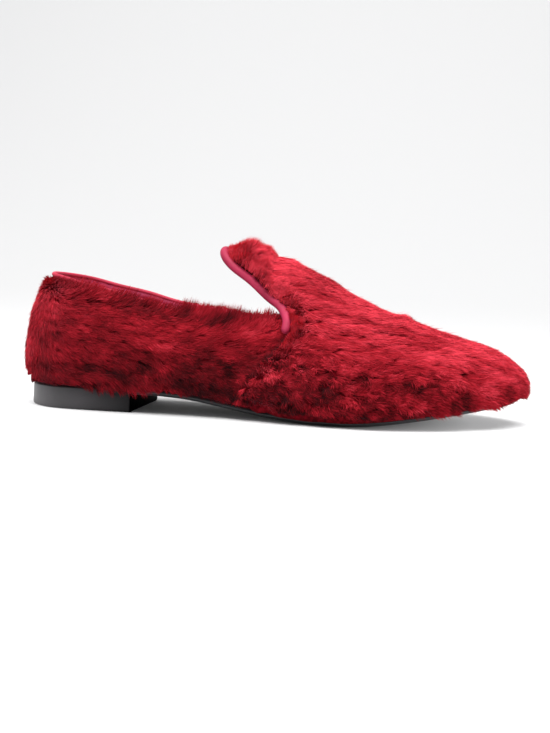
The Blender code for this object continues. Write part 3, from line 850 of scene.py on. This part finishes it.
def hangPastHem(at, own, rise, chance):
    # how far the tips hang below the pile's lower edge
    waver = hem["waver"] * softNoise(at.points * np.array([1, 1, 0]), hem["waverSize"], 41)
    hang = np.maximum(np.interp(at.x, hem["places"], hem["hang"]) + waver, hem["least"]) * mm
    past = np.clip(-rise, 0, hem["ownFall"]) * between(*hem["ownShare"], own.rise) + hang
    past = past * at.hem * chance.uniform(*hem["uneven"], len(past))
    return past * (1 - smoothStep(*hem["behind"], at.behind))


def standPastCollar(at, own, rise, chance):
    # how far the tips stand above the pile's upper edge
    ahead = smoothStep(*collar["ahead"], at.x)
    back, front = (np.where(at.outer, collar["outer"][k], collar["inner"][k]) for k in (0, 1))
    up = between(back, front, ahead) + noiseSum(at.points, [collar["broadWaver"]]) * ahead
    up = up + noiseSum(at.points, [collar["fineWaver"]])
    up = up * chance.uniform(*collar["uneven"], len(up)) + np.clip(rise, 0, collar["ownRise"]) * at.outer
    up = up * (1 - collar["behindLoss"] * smoothStep(*collar["behind"], at.behind))
    wisps = own.rise ** collar["wispPower"] * collar["wisps"] * ahead * at.outer
    return at.collar * (up + wisps)


def liftTips(at, own, core, swell, on, chance):
    # how far the tips stand off the pile's smooth top
    count = len(at.x)
    lift = chance.normal(tipLift["mean"], tipLift["spread"], count)
    lift += tuft["rise"] * core * own.rise * between(*tuft["riseShare"], at.loose)
    isStray = chance.random(count) < tipLift["strays"]
    lift += isStray * chance.uniform(*tipLift["strayLift"], count)
    lift += tipLift["lip"] * at.lip - tipLift["shade"] * at.shade
    lift = (lift + swell) * np.clip(at.full + tipLift["thinShare"], 0, 1)
    lift += at.throat * np.maximum(0, tipLift["throatPile"] - at.depth) * tipLift["throat"]
    lift += np.where(at.outer, tipLift["collarOuter"], tipLift["collarInner"]) * at.collar
    lift += tipLift["hem"] * at.hem + tipLift["toe"] * smoothStep(*tipLift["toeFacing"], at.normals[:, 0])
    return lift + tongueLumps(on)


# The strands' tone, from 0 at its darkest to 1 at its palest; besides the pile's own variation it carries
# painted light and shade
toneLook = {
    "middle": 0.50,
    "broad": (3.4 * mm, 12 * mm, 31),       # streaks: width, length, seed
    "broadShare": 0.10,
    "narrow": (1.0 * mm, 5 * mm, 32),
    "patchStretch": (0.6, 1, 1),
    "patches": (0.09, 7 * mm, 33),
    "tuft": 0.05,
    "tuftLeast": 0.4,
    "core": 0.05,
    # painted shade in the laid creases
    "crease": 0.15,
    "shade": 0.22,
    # painted highlight on the vamp's raised lip at the side seam
    "lip": 0.12,
    # painted light on the tongue's top
    "tongueHeights": (0.050, 0.068),
    "tonguePlaces": (0.106, 0.126),
    # painted light in the pile by the piping
    "throat": 0.34,
    "collar": 0.08,
    # painted light on pile that faces back, away from the lamps
    "behind": 0.22,
    "behindLightFacing": (0.35, 0.9),
    # painted light and shade: swelling tufts paler, sunken ones darker
    "swell": 0.11,
    "swellMost": 1.5,
    # painted shade towards the bottom, fading out between these heights
    "lowShadeHeights": (0.006, 0.040),
    # painted light on pile that faces up
    "topFacing": (0.35, 0.95),
    # painted shade: a dark band along the hem under the ball
    "ballHemShade": 0.95,
    "ballStart": (0.112, 0.124),
    "ballEnd": (0.164, 0.176),
    "ballHeights": (1.5 * mm, 5.0 * mm),
    "foot": 0.12,                           # a dark patch in front of the seam's foot
    "footX": (0.118, 0.022),                # its middle and size
    "footZ": (0.012, 0.011),
    # painted light: the band below the collar is the rounded top lit from above
    "band": (8 * mm, 6 * mm),               # a lighter band on the quarter, below the collar
    # painted light at the toe, which also takes back some of the bottom's painted shade
    "toePlaces": (0.190, 0.225),
    "toe": 0.08,
    "toeLow": 0.10,
}
# Tones that differ between the quarter and the vamp
toneByPart = {
    # painted shade: the quarter's side is darker than the vamp
    "base": (-0.16, 0.04),
    "narrow": (0.095, 0.115),
    "strand": (0.075, 0.10),
    # painted shade towards the bottom, for the quarter and the vamp
    "low": (-0.26, -0.28),
    # painted light on upward faces
    "top": (0.04, 0.22),
    # painted light on the tongue's top
    "tongue": (0, 0.20),
    # painted light: a paler band below the collar
    "band": (0.15, 0),
}


def hump(value, place, size):
    # 1 at the place, falling off within a few sizes
    return np.exp(-(((value - place) / size) ** 2))


def strandTones(at, own, core, swell, past, chance):
    look = toneLook
    part = {key: np.where(at.vamp, vamp, quarter) for key, (quarter, vamp) in toneByPart.items()}
    # painted shade: the pile darkens towards the bottom
    low = 1 - smoothStep(*look["lowShadeHeights"], at.z)
    # the quarter's lower base tone is painted shade on the shoe's side
    tone = look["middle"] + part["base"] + part["low"] * low
    tone += look["broadShare"] * streaks(at.points, at.flow, *look["broad"])
    tone += part["narrow"] * streaks(at.points, at.flow, *look["narrow"])
    tone += noiseSum(at.points * np.array(look["patchStretch"]), [look["patches"]])
    tone += look["tuft"] * own.tone * (look["tuftLeast"] + at.loose) + look["core"] * core * at.loose
    tone += part["strand"] * chance.normal(0, 1, len(tone))
    # painted light and shade: swelling tufts paler, sunken ones darker
    tone += look["swell"] * np.clip(swell / mm, -look["swellMost"], look["swellMost"]) * at.loose
    # painted highlight on the vamp's lip, painted shade beside the seam and in the creases
    tone += look["lip"] * at.lip - look["shade"] * at.shade - look["crease"] * creaseDepth(at.points)
    # painted light by the piping
    tone += look["throat"] * at.throat + look["collar"] * at.collar
    # painted light on pile that faces back, away from the lamps
    tone += look["behind"] * smoothStep(*look["behindLightFacing"], at.behind)
    # painted light: upward-facing pile is paler
    tone += part["top"] * smoothStep(*look["topFacing"], at.normals[:, 2])
    # painted light on the tongue's top
    onTongue = smoothStep(*look["tongueHeights"], at.z) * (1 - smoothStep(*look["tonguePlaces"], at.x))
    tone += part["tongue"] * onTongue
    # painted shade: a dark band along the hem under the ball
    ballHemShade = smoothStep(*look["ballStart"], at.x) * (1 - smoothStep(*look["ballEnd"], at.x))
    tone -= look["ballHemShade"] * ballHemShade * (1 - smoothStep(*look["ballHeights"], at.aboveHem - past))
    tone -= look["foot"] * hump(at.x, *look["footX"]) * hump(at.z, *look["footZ"])
    # painted light: a paler band below the collar
    tone += part["band"] * hump(at.belowCollar, *look["band"])
    # painted light at the toe, which also takes back some of the bottom's painted shade
    return tone + smoothStep(*look["toePlaces"], at.x) * (look["toe"] + look["toeLow"] * low)


def growStrands():
    chance = np.random.default_rng(strand["seed"])
    spreadOut = scatter(strand["perSquareMetre"], chance)
    fringed = scatterFringe(chance)
    at = surveyPlaces(*(np.concatenate(pair) for pair in zip(spreadOut, fringed)))
    count = len(at.x)
    isFringe = np.arange(count) >= len(spreadOut[0])
    centres = plantTufts(chance)
    length = strandLengths(at, chance)
    own = joinTufts(at, length, centres, chance)
    target, core = aimStrands(at, own, length, chance)
    on = np.where(isFringe[:, None], target, nearestOutside(target))

    # the tips leave the surface at the edges, and swell and lift off it everywhere
    rise = (target - on)[:, 2]
    past = hangPastHem(at, own, rise, chance)
    up = standPastCollar(at, own, rise, chance)
    swell = relief(at.points, at.flow, at.loose)
    lift = liftTips(at, own, core, swell, on, chance)
    tips = on + (up - past)[:, None] * np.array([0, 0, 1]) + at.normals * lift[:, None]
    sunk = swell * swells["rootShare"] * at.full - at.depth * strand["rootDepth"]
    roots = at.points + at.normals * sunk[:, None]
    middles = between(roots, tips, strand["middle"]) + at.normals * (at.depth * strand["bow"])[:, None]
    tone = strandTones(at, own, core, swell, past, chance)
    roll = chance.normal(0, strand["rollSpread"], count)[:, None]
    across = unit(np.cross(unit(tips - roots), at.normals))
    across = across * np.cos(roll) + at.normals * np.sin(roll)
    width = strand["width"] * chance.uniform(*strand["widthSpan"], count)
    return {
        "points": at.points, "roots": roots, "middles": middles, "tips": tips,
        "across": across, "width": width, "tone": tone,
    }


def strandPiece(name, grown, chosen):
    # each strand is a narrow strip in two parts that ends in a point
    roots, middles, tips = (grown[key][chosen] for key in ("roots", "middles", "tips"))
    across, width, tone = (grown[key][chosen] for key in ("across", "width", "tone"))
    count = len(roots)
    rows, tones = [], []
    # the darker tone at the root is painted shade, and the brighter tip is painted light
    for t, wide, shade in strand["levels"]:
        along = roots * (1 - t) ** 2 + middles * 2 * t * (1 - t) + tips * t * t
        half = across * (width * wide / 2)[:, None]
        rows += [along - half, along + half]
        tones += [tone + shade, tone + shade]
    rows.append(tips)
    tones.append(tone + strand["paintedTipLight"])
    vertices = np.stack(rows, axis=1).reshape(-1, 3)
    start = (np.arange(count) * 5)[:, None]
    loops = np.concatenate([(start + np.array([0, 1, 3, 2])).ravel(), (start + np.array([2, 3, 4])).ravel()])
    sizes = np.concatenate([np.full(count, 4), np.full(count, 3)])
    mesh = bpy.data.meshes.new(name)
    mesh.vertices.add(len(vertices))
    mesh.vertices.foreach_set("co", vertices.astype(np.float32).ravel())
    mesh.loops.add(len(loops))
    mesh.loops.foreach_set("vertex_index", loops.astype(np.int32))
    mesh.polygons.add(len(sizes))
    mesh.polygons.foreach_set("loop_start", np.concatenate([[0], np.cumsum(sizes)[:-1]]).astype(np.int32))
    mesh.update(calc_edges=True)
    attribute = mesh.attributes.new("tone", "FLOAT", "POINT")
    attribute.data.foreach_set("value", np.clip(np.stack(tones, axis=1), 0, 1).astype(np.float32).ravel())
    mesh.materials.append(pile)
    mesh.shade_smooth()
    piece = bpy.data.objects.new(name, mesh)
    bpy.context.scene.collection.objects.link(piece)
    print(name, count, "strands")
    return piece


# The pile is cut into pieces at the side seam, near the middle plane and behind the toe
pieceCuts = {"middle": 1 * mm, "toe": 0.182}
grown = growStrands()
where = grown["points"]
vamp = fromSeam(where) > 0
toe = where[:, 0] > pieceCuts["toe"]
outer = where[:, 1] < pieceCuts["middle"]
regions = {
    "quarterPileOuter": ~vamp & outer,
    "quarterPileInner": ~vamp & ~outer,
    "vampPileOuter": vamp & outer & ~toe,
    "vampPileInner": vamp & ~outer & ~toe,
    "toePile": vamp & toe,
}
pilePieces = [strandPiece(name, grown, chosen) for name, chosen in regions.items()]
print("pile done:", len(where), "strands")


# The fleece's own shape and its two materials

def buildFleece():
    flow = flowAt(smoothOutside, smoothNormals)
    swell = relief(smoothOutside, flow, looseness(smoothOutside))
    lower = swell * swells["rootShare"] - smoothDepth * fleece["sink"]
    sunk = smoothOutside + smoothNormals * lower[:, None]
    placed = wallPoints + (sunk - wallPoints) * np.where(wallOutside[:, None], freedom, 0)
    inwards = -((placed - wallPoints) * wallNormals).sum(1)
    tooFar = np.maximum(0, inwards - np.maximum(wallThickness - fleece["leastWall"], 0))
    placed = placed + wallNormals * tooFar[:, None]
    wall.data.vertices.foreach_set("co", placed.ravel())
    wall.data.update()
    finer = wall.modifiers.new("finer", "SUBSURF")
    finer.subdivision_type = "SIMPLE"
    finer.levels = finer.render_levels = 1
    applyModifiers(wall)
    bpy.ops.object.shade_smooth()


buildFleece()

liningLook = {
    "dark": (0.26, 0.010, 0.045), "light": (0.36, 0.020, 0.070), "grainScale": 1300, "blotchScale": 45,
    "bump": 0.25, "depth": 0.3 * mm, "roughness": 0.6, "specular": 0.2,
}
fleeceLook = {
    "dark": (0.045, 0.0006, 0.002), "light": (0.160, 0.003, 0.008), "scale": 420, "detail": 4,
    "bump": 0.6, "depth": 1 * mm, "roughness": 0.95, "specular": 0.05,
}


def fleeceMaterial():
    made, tree, shader = newMaterial("fleeceUnderPile")
    place = tree.nodes.new("ShaderNodeTexCoord")
    noise = addNode(tree, "ShaderNodeTexNoise", Scale=fleeceLook["scale"], Detail=fleeceLook["detail"])
    ramp = twoTones(tree, fleeceLook)
    tree.links.new(place.outputs["Object"], noise.inputs["Vector"])
    tree.links.new(noise.outputs["Fac"], ramp.inputs["Fac"])
    tree.links.new(ramp.outputs["Color"], shader.inputs["Base Color"])
    addBump(tree, shader, noise.outputs["Fac"], fleeceLook)
    setGloss(shader, fleeceLook)
    return made


# Near the piping only faces that look straight into the shoe are lining
liningEdge = {"throat": 10 * mm, "facing": -0.6, "slack": 0.4 * mm}


def paintFleece():
    # what the room's middle can see of the wall is lining, and the rest is fleece
    wall.data.materials.append(fleeceMaterial())
    wall.data.materials.append(leatherMaterial("liningLeather", liningLook))
    faces = wall.data.polygons
    tree = BVHTree.FromPolygons([v.co for v in wall.data.vertices], [tuple(f.vertices) for f in faces])
    centres = np.array([f.center[:] for f in faces])
    facing = np.array([f.normal[:] for f in faces])
    eyes = roomAxis(centres)
    looksOut = (facing * unit(centres - eyes)).sum(1) > liningEdge["facing"]
    rim = (throatGap(centres) < liningEdge["throat"]) & looksOut
    inside = np.zeros(len(centres), bool)
    for k, (eye, centre) in enumerate(zip(eyes, centres)):
        gap = np.linalg.norm(centre - eye)
        hit = tree.ray_cast(Vector(eye), Vector((centre - eye) / gap), gap)
        inside[k] = not rim[k] and (hit[0] is None or hit[3] > gap - liningEdge["slack"])
    faces.foreach_set("material_index", inside.astype(np.int32))
    wall.data.update()
    print("fleece done:", len(faces), "faces")


paintFleece()


# Rolled leather edges

pipingLook = {
    "dark": (0.26, 0.011, 0.040), "light": (0.38, 0.021, 0.066), "grainScale": 1500, "blotchScale": 80,
    "bump": 0.18, "depth": 0.3 * mm, "roughness": 0.6, "specular": 0.22,
}
bindingLook = {**pipingLook, "dark": (0.34, 0.013, 0.036), "light": (0.46, 0.024, 0.060)}
# The node, how much the roll swells, how far it moves down on to its edge, and its leather
rolls = {
    "vampPiping": ("vamp_piping", 0.70 * mm, 0.0, pipingLook),
    "collarBinding": ("collar_binding", 0.10 * mm, 1.6 * mm, bindingLook),
}


def buildRoll(pieceName, nodeName, swell, sink, look):
    roll = copyNode(nodeName, pieceName)
    roll.data.transform(Matrix.Translation((0, 0, -sink)))
    rounder = roll.modifiers.new("round", "SUBSURF")
    rounder.levels = rounder.render_levels = 2
    fatter = roll.modifiers.new("swell", "DISPLACE")
    fatter.strength = swell
    fatter.mid_level = 0.0
    applyModifiers(roll)
    bpy.ops.object.shade_smooth()
    roll.data.materials.append(leatherMaterial(pieceName + "Leather", look))
    return roll


rollPieces = {name: buildRoll(name, *values) for name, values in rolls.items()}
print("piping and binding done")


# Sole, heel and insole

soleLook = {
    "dark": (0.006, 0.006, 0.007), "light": (0.012, 0.012, 0.014), "grainScale": 500, "blotchScale": 30,
    "bump": 0.12, "depth": 0.2 * mm, "roughness": 0.38, "specular": 0.5,
}
heelLook = {
    **soleLook, "dark": (0.024, 0.022, 0.024), "light": (0.036, 0.032, 0.036), "roughness": 0.46,
    # painted light and shade: lighter at the back, dark at the side's front edge, and black on the front
    # face, which stands in shade
    "fade": ((-0.036, 0.032, 1.60, 0.25), (0.0312, 0.0319, 1, 0.01)),
}
insoleLook = {**liningLook, "roughness": 0.5}
# The node, the width of its softened edges, the angle in degrees that counts as one, and its finish
solids = {
    "soleBody": ("outsole", 0.35 * mm, 25, soleLook),
    "heelBody": ("heel_block", 0.60 * mm, 40, heelLook),
    "insoleSock": ("insole", 0.60 * mm, 40, insoleLook),
}
softEdge = {"segments": 3, "smoothBelow": 35}
# The heel's side stands flush with the sole's edge, and its top runs up to it
heelGrowth = {"side": 0.7 * mm, "top": 2.8 * mm, "sideFacing": 0.3, "topFacing": 0.2}


def growHeel(mesh):
    points, normals = pointsOf(mesh), pointsOf(mesh, "normal")
    sideways = unit(normals * np.array([1, 1, 0]))
    onSide = np.linalg.norm(normals[:, :2], axis=1) > heelGrowth["sideFacing"]
    points += sideways * heelGrowth["side"] * onSide[:, None]
    points[:, 2] += np.where(normals[:, 2] > heelGrowth["topFacing"], heelGrowth["top"], 0)
    mesh.vertices.foreach_set("co", points.ravel())
    mesh.update()


def buildSolid(pieceName, nodeName, edge, angle, look):
    solid = copyNode(nodeName, pieceName)
    if nodeName == "heel_block":
        growHeel(solid.data)
    bevel = solid.modifiers.new("edges", "BEVEL")
    bevel.width = edge
    bevel.segments = softEdge["segments"]
    bevel.limit_method = "ANGLE"
    bevel.angle_limit = math.radians(angle)
    applyModifiers(solid)
    bpy.ops.object.shade_smooth_by_angle(angle=math.radians(softEdge["smoothBelow"]))
    solid.data.materials.append(leatherMaterial(pieceName + "Surface", look))
    return solid


solidPieces = {name: buildSolid(name, *values) for name, values in solids.items()}
print("sole, heel and insole done")


# Which piece stands for which solid

for piece in (wall, *pilePieces):
    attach(piece, "root")
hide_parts("upper")
slots = {
    "vampPiping": ("vamp_piping", "piping_leather"),
    "collarBinding": ("collar_binding", "binding_leather"),
    "soleBody": ("outsole", "black_sole"),
    "heelBody": ("heel_block", "black_heel"),
    "insoleSock": ("insole", "insole_leather"),
}
for name, piece in {**rollPieces, **solidPieces}.items():
    nodeName, slotName = slots[name]
    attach(piece, "root")
    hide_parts(nodeName)


# Floor, light and camera

studio = {
    "floorSize": 8.0,
    "floorBehind": 1.6,
    "sweepHeight": 3.0,
    "sweepRadius": 1.2,
    "floorColour": (0.54, 0.54, 0.542),
    # painted shade: the wall's colour is darker than the floor's, for the backdrop's weaker light
    "wallColour": (0.340, 0.340, 0.341),
    "wallPlaces": (0.10, 0.75),     # the paper darkens from the one to the other behind the shoe
    "roughness": 0.85,
    "specular": 0.2,
    # painted light from the paper's glow, lowered under the arch as a painted shadow
    "glow": (0.03, 0.62),           # under the arch, and everywhere else
    "archPlace": (0.088, 0.0, 0.0),
    "archReach": (0.118, 0.080, 1.0),
    "archEdge": (0.7, 1.1),         # where the glow grows, as shares of that reach
    "worldColour": (0.97, 0.98, 1.0),
    "worldStrength": 0.44,
}
# Place, target, width and height, and power
softboxes = {
    "topSoftbox": ((0.10, -0.50, 2.05), (0.10, 0, 0.03), (2.4, 2.0), 118),
    "frontSoftbox": ((-1.3, -0.7, 0.8), (0.10, 0, 0.04), (1.0, 0.8), 4.0),
}


def selectEdges(mesh, test):
    # the edges whose two ends pass the test, left selected in edit mode
    bpy.ops.object.mode_set(mode="EDIT")
    bpy.ops.mesh.select_mode(type="EDGE")
    bpy.ops.mesh.select_all(action="DESELECT")
    bpy.ops.object.mode_set(mode="OBJECT")
    for edge in mesh.edges:
        edge.select = all(test(mesh.vertices[v].co) for v in edge.vertices)
    bpy.ops.object.mode_set(mode="EDIT")


def paperMaterial():
    made, tree, shader = newMaterial("studioPaper")
    place = tree.nodes.new("ShaderNodeTexCoord")
    split = tree.nodes.new("ShaderNodeSeparateXYZ")
    spanned = tree.nodes.new("ShaderNodeMapRange")
    spanned.inputs["From Min"].default_value, spanned.inputs["From Max"].default_value = studio["wallPlaces"]
    # painted shade: the paper's colour darkens from the floor to the wall behind the shoe
    ramp = tree.nodes.new("ShaderNodeValToRGB")
    ramp.color_ramp.interpolation = "EASE"
    ramp.color_ramp.elements[0].color = (*studio["floorColour"], 1)
    ramp.color_ramp.elements[1].color = (*studio["wallColour"], 1)
    tree.links.new(place.outputs["Object"], split.inputs["Vector"])
    tree.links.new(split.outputs["Y"], spanned.inputs["Value"])
    tree.links.new(spanned.outputs["Result"], ramp.inputs["Fac"])
    tree.links.new(ramp.outputs["Color"], shader.inputs["Base Color"])
    tree.links.new(ramp.outputs["Color"], shader.inputs["Emission Color"])

    # painted light: the paper glows a little, and glows less under the arch as a painted shadow
    centred = addNode(tree, "ShaderNodeVectorMath", operation="SUBTRACT")
    centred.inputs[1].default_value = studio["archPlace"]
    scaled = addNode(tree, "ShaderNodeVectorMath", operation="DIVIDE")
    scaled.inputs[1].default_value = studio["archReach"]
    away = addNode(tree, "ShaderNodeVectorMath", operation="LENGTH")
    glow = tree.nodes.new("ShaderNodeMapRange")
    glow.inputs["From Min"].default_value, glow.inputs["From Max"].default_value = studio["archEdge"]
    glow.inputs["To Min"].default_value, glow.inputs["To Max"].default_value = studio["glow"]
    tree.links.new(place.outputs["Object"], centred.inputs[0])
    tree.links.new(centred.outputs["Vector"], scaled.inputs[0])
    tree.links.new(scaled.outputs["Vector"], away.inputs[0])
    tree.links.new(away.outputs["Value"], glow.inputs["Value"])
    tree.links.new(glow.outputs["Result"], shader.inputs["Emission Strength"])
    setGloss(shader, studio)
    return made


def buildFloor():
    # a sheet of paper that sweeps up behind the shoe
    deselectAll()
    size, back = studio["floorSize"], studio["floorBehind"]
    bpy.ops.mesh.primitive_plane_add(size=size, location=(0.1, back - size / 2, 0))
    floor = bpy.context.object
    floor.name = "studioFloor"
    bpy.ops.object.transform_apply(location=True, rotation=True, scale=True)
    tiny = 0.001 * mm
    selectEdges(floor.data, lambda p: abs(p.y - back) < tiny)
    bpy.ops.mesh.extrude_region_move(TRANSFORM_OT_translate={"value": (0, 0, studio["sweepHeight"])})
    selectEdges(floor.data, lambda p: abs(p.y - back) < tiny and abs(p.z) < tiny)
    bpy.ops.mesh.bevel(offset=studio["sweepRadius"], segments=16)
    bpy.ops.object.mode_set(mode="OBJECT")
    bpy.ops.object.shade_smooth()
    floor.data.materials.append(paperMaterial())


def addSoftbox(name, place, target, size, power):
    light = bpy.data.lights.new(name, "AREA")
    light.shape = "RECTANGLE"
    light.size, light.size_y = size
    light.energy = power
    lamp = bpy.data.objects.new(name, light)
    bpy.context.scene.collection.objects.link(lamp)
    lamp.location = place
    lamp.rotation_euler = (Vector(target) - Vector(place)).to_track_quat("-Z", "Y").to_euler()


def lightStudio():
    world = bpy.data.worlds.new("studioWorld")
    world.use_nodes = True
    sky = world.node_tree.nodes["Background"]
    sky.inputs["Color"].default_value = (*studio["worldColour"], 1)
    sky.inputs["Strength"].default_value = studio["worldStrength"]
    bpy.context.scene.world = world
    for name, values in softboxes.items():
        addSoftbox(name, *values)


buildFloor()
lightStudio()

# The photograph's view: nearly level from the outer side, toe turned a little to the camera
shot = {
    "aim": (0.104, 0.0),
    "turn": math.radians(8.5),
    "distance": 0.600,
    "height": 0.0793,
    "roll": 0.034,
    "focal": 1063.6,            # in pixels of the photograph
    "opticalCentre": (272.7, 272.4),
    "imageSize": (550, 733),
    "sensor": 36,
    "clip": (0.02, 30),
}


def placeCamera():
    width, height = shot["imageSize"]
    longSide = max(width, height)
    data = bpy.data.cameras.new("photoCamera")
    data.sensor_width = shot["sensor"]
    data.lens = shot["sensor"] * shot["focal"] / longSide
    data.shift_x = (width / 2 - shot["opticalCentre"][0]) / longSide
    data.shift_y = -(height / 2 - shot["opticalCentre"][1]) / longSide
    data.clip_start, data.clip_end = shot["clip"]
    camera = bpy.data.objects.new("photoCamera", data)
    bpy.context.scene.collection.objects.link(camera)
    turn, roll = shot["turn"], shot["roll"]
    forward = Vector((-math.sin(turn), math.cos(turn), 0))
    up = Vector((0, 0, 1))
    right = forward.cross(up)
    tiltedRight = right * math.cos(roll) + up * math.sin(roll)
    tiltedUp = up * math.cos(roll) - right * math.sin(roll)
    matrix = Matrix((tiltedRight, tiltedUp, -forward)).transposed().to_4x4()
    matrix.translation = Vector((*shot["aim"], shot["height"])) - forward * shot["distance"]
    camera.matrix_world = matrix
    bpy.context.scene.camera = camera


placeCamera()
bpy.context.scene.view_settings.view_transform = "Standard"
print("floor, lights and camera done")
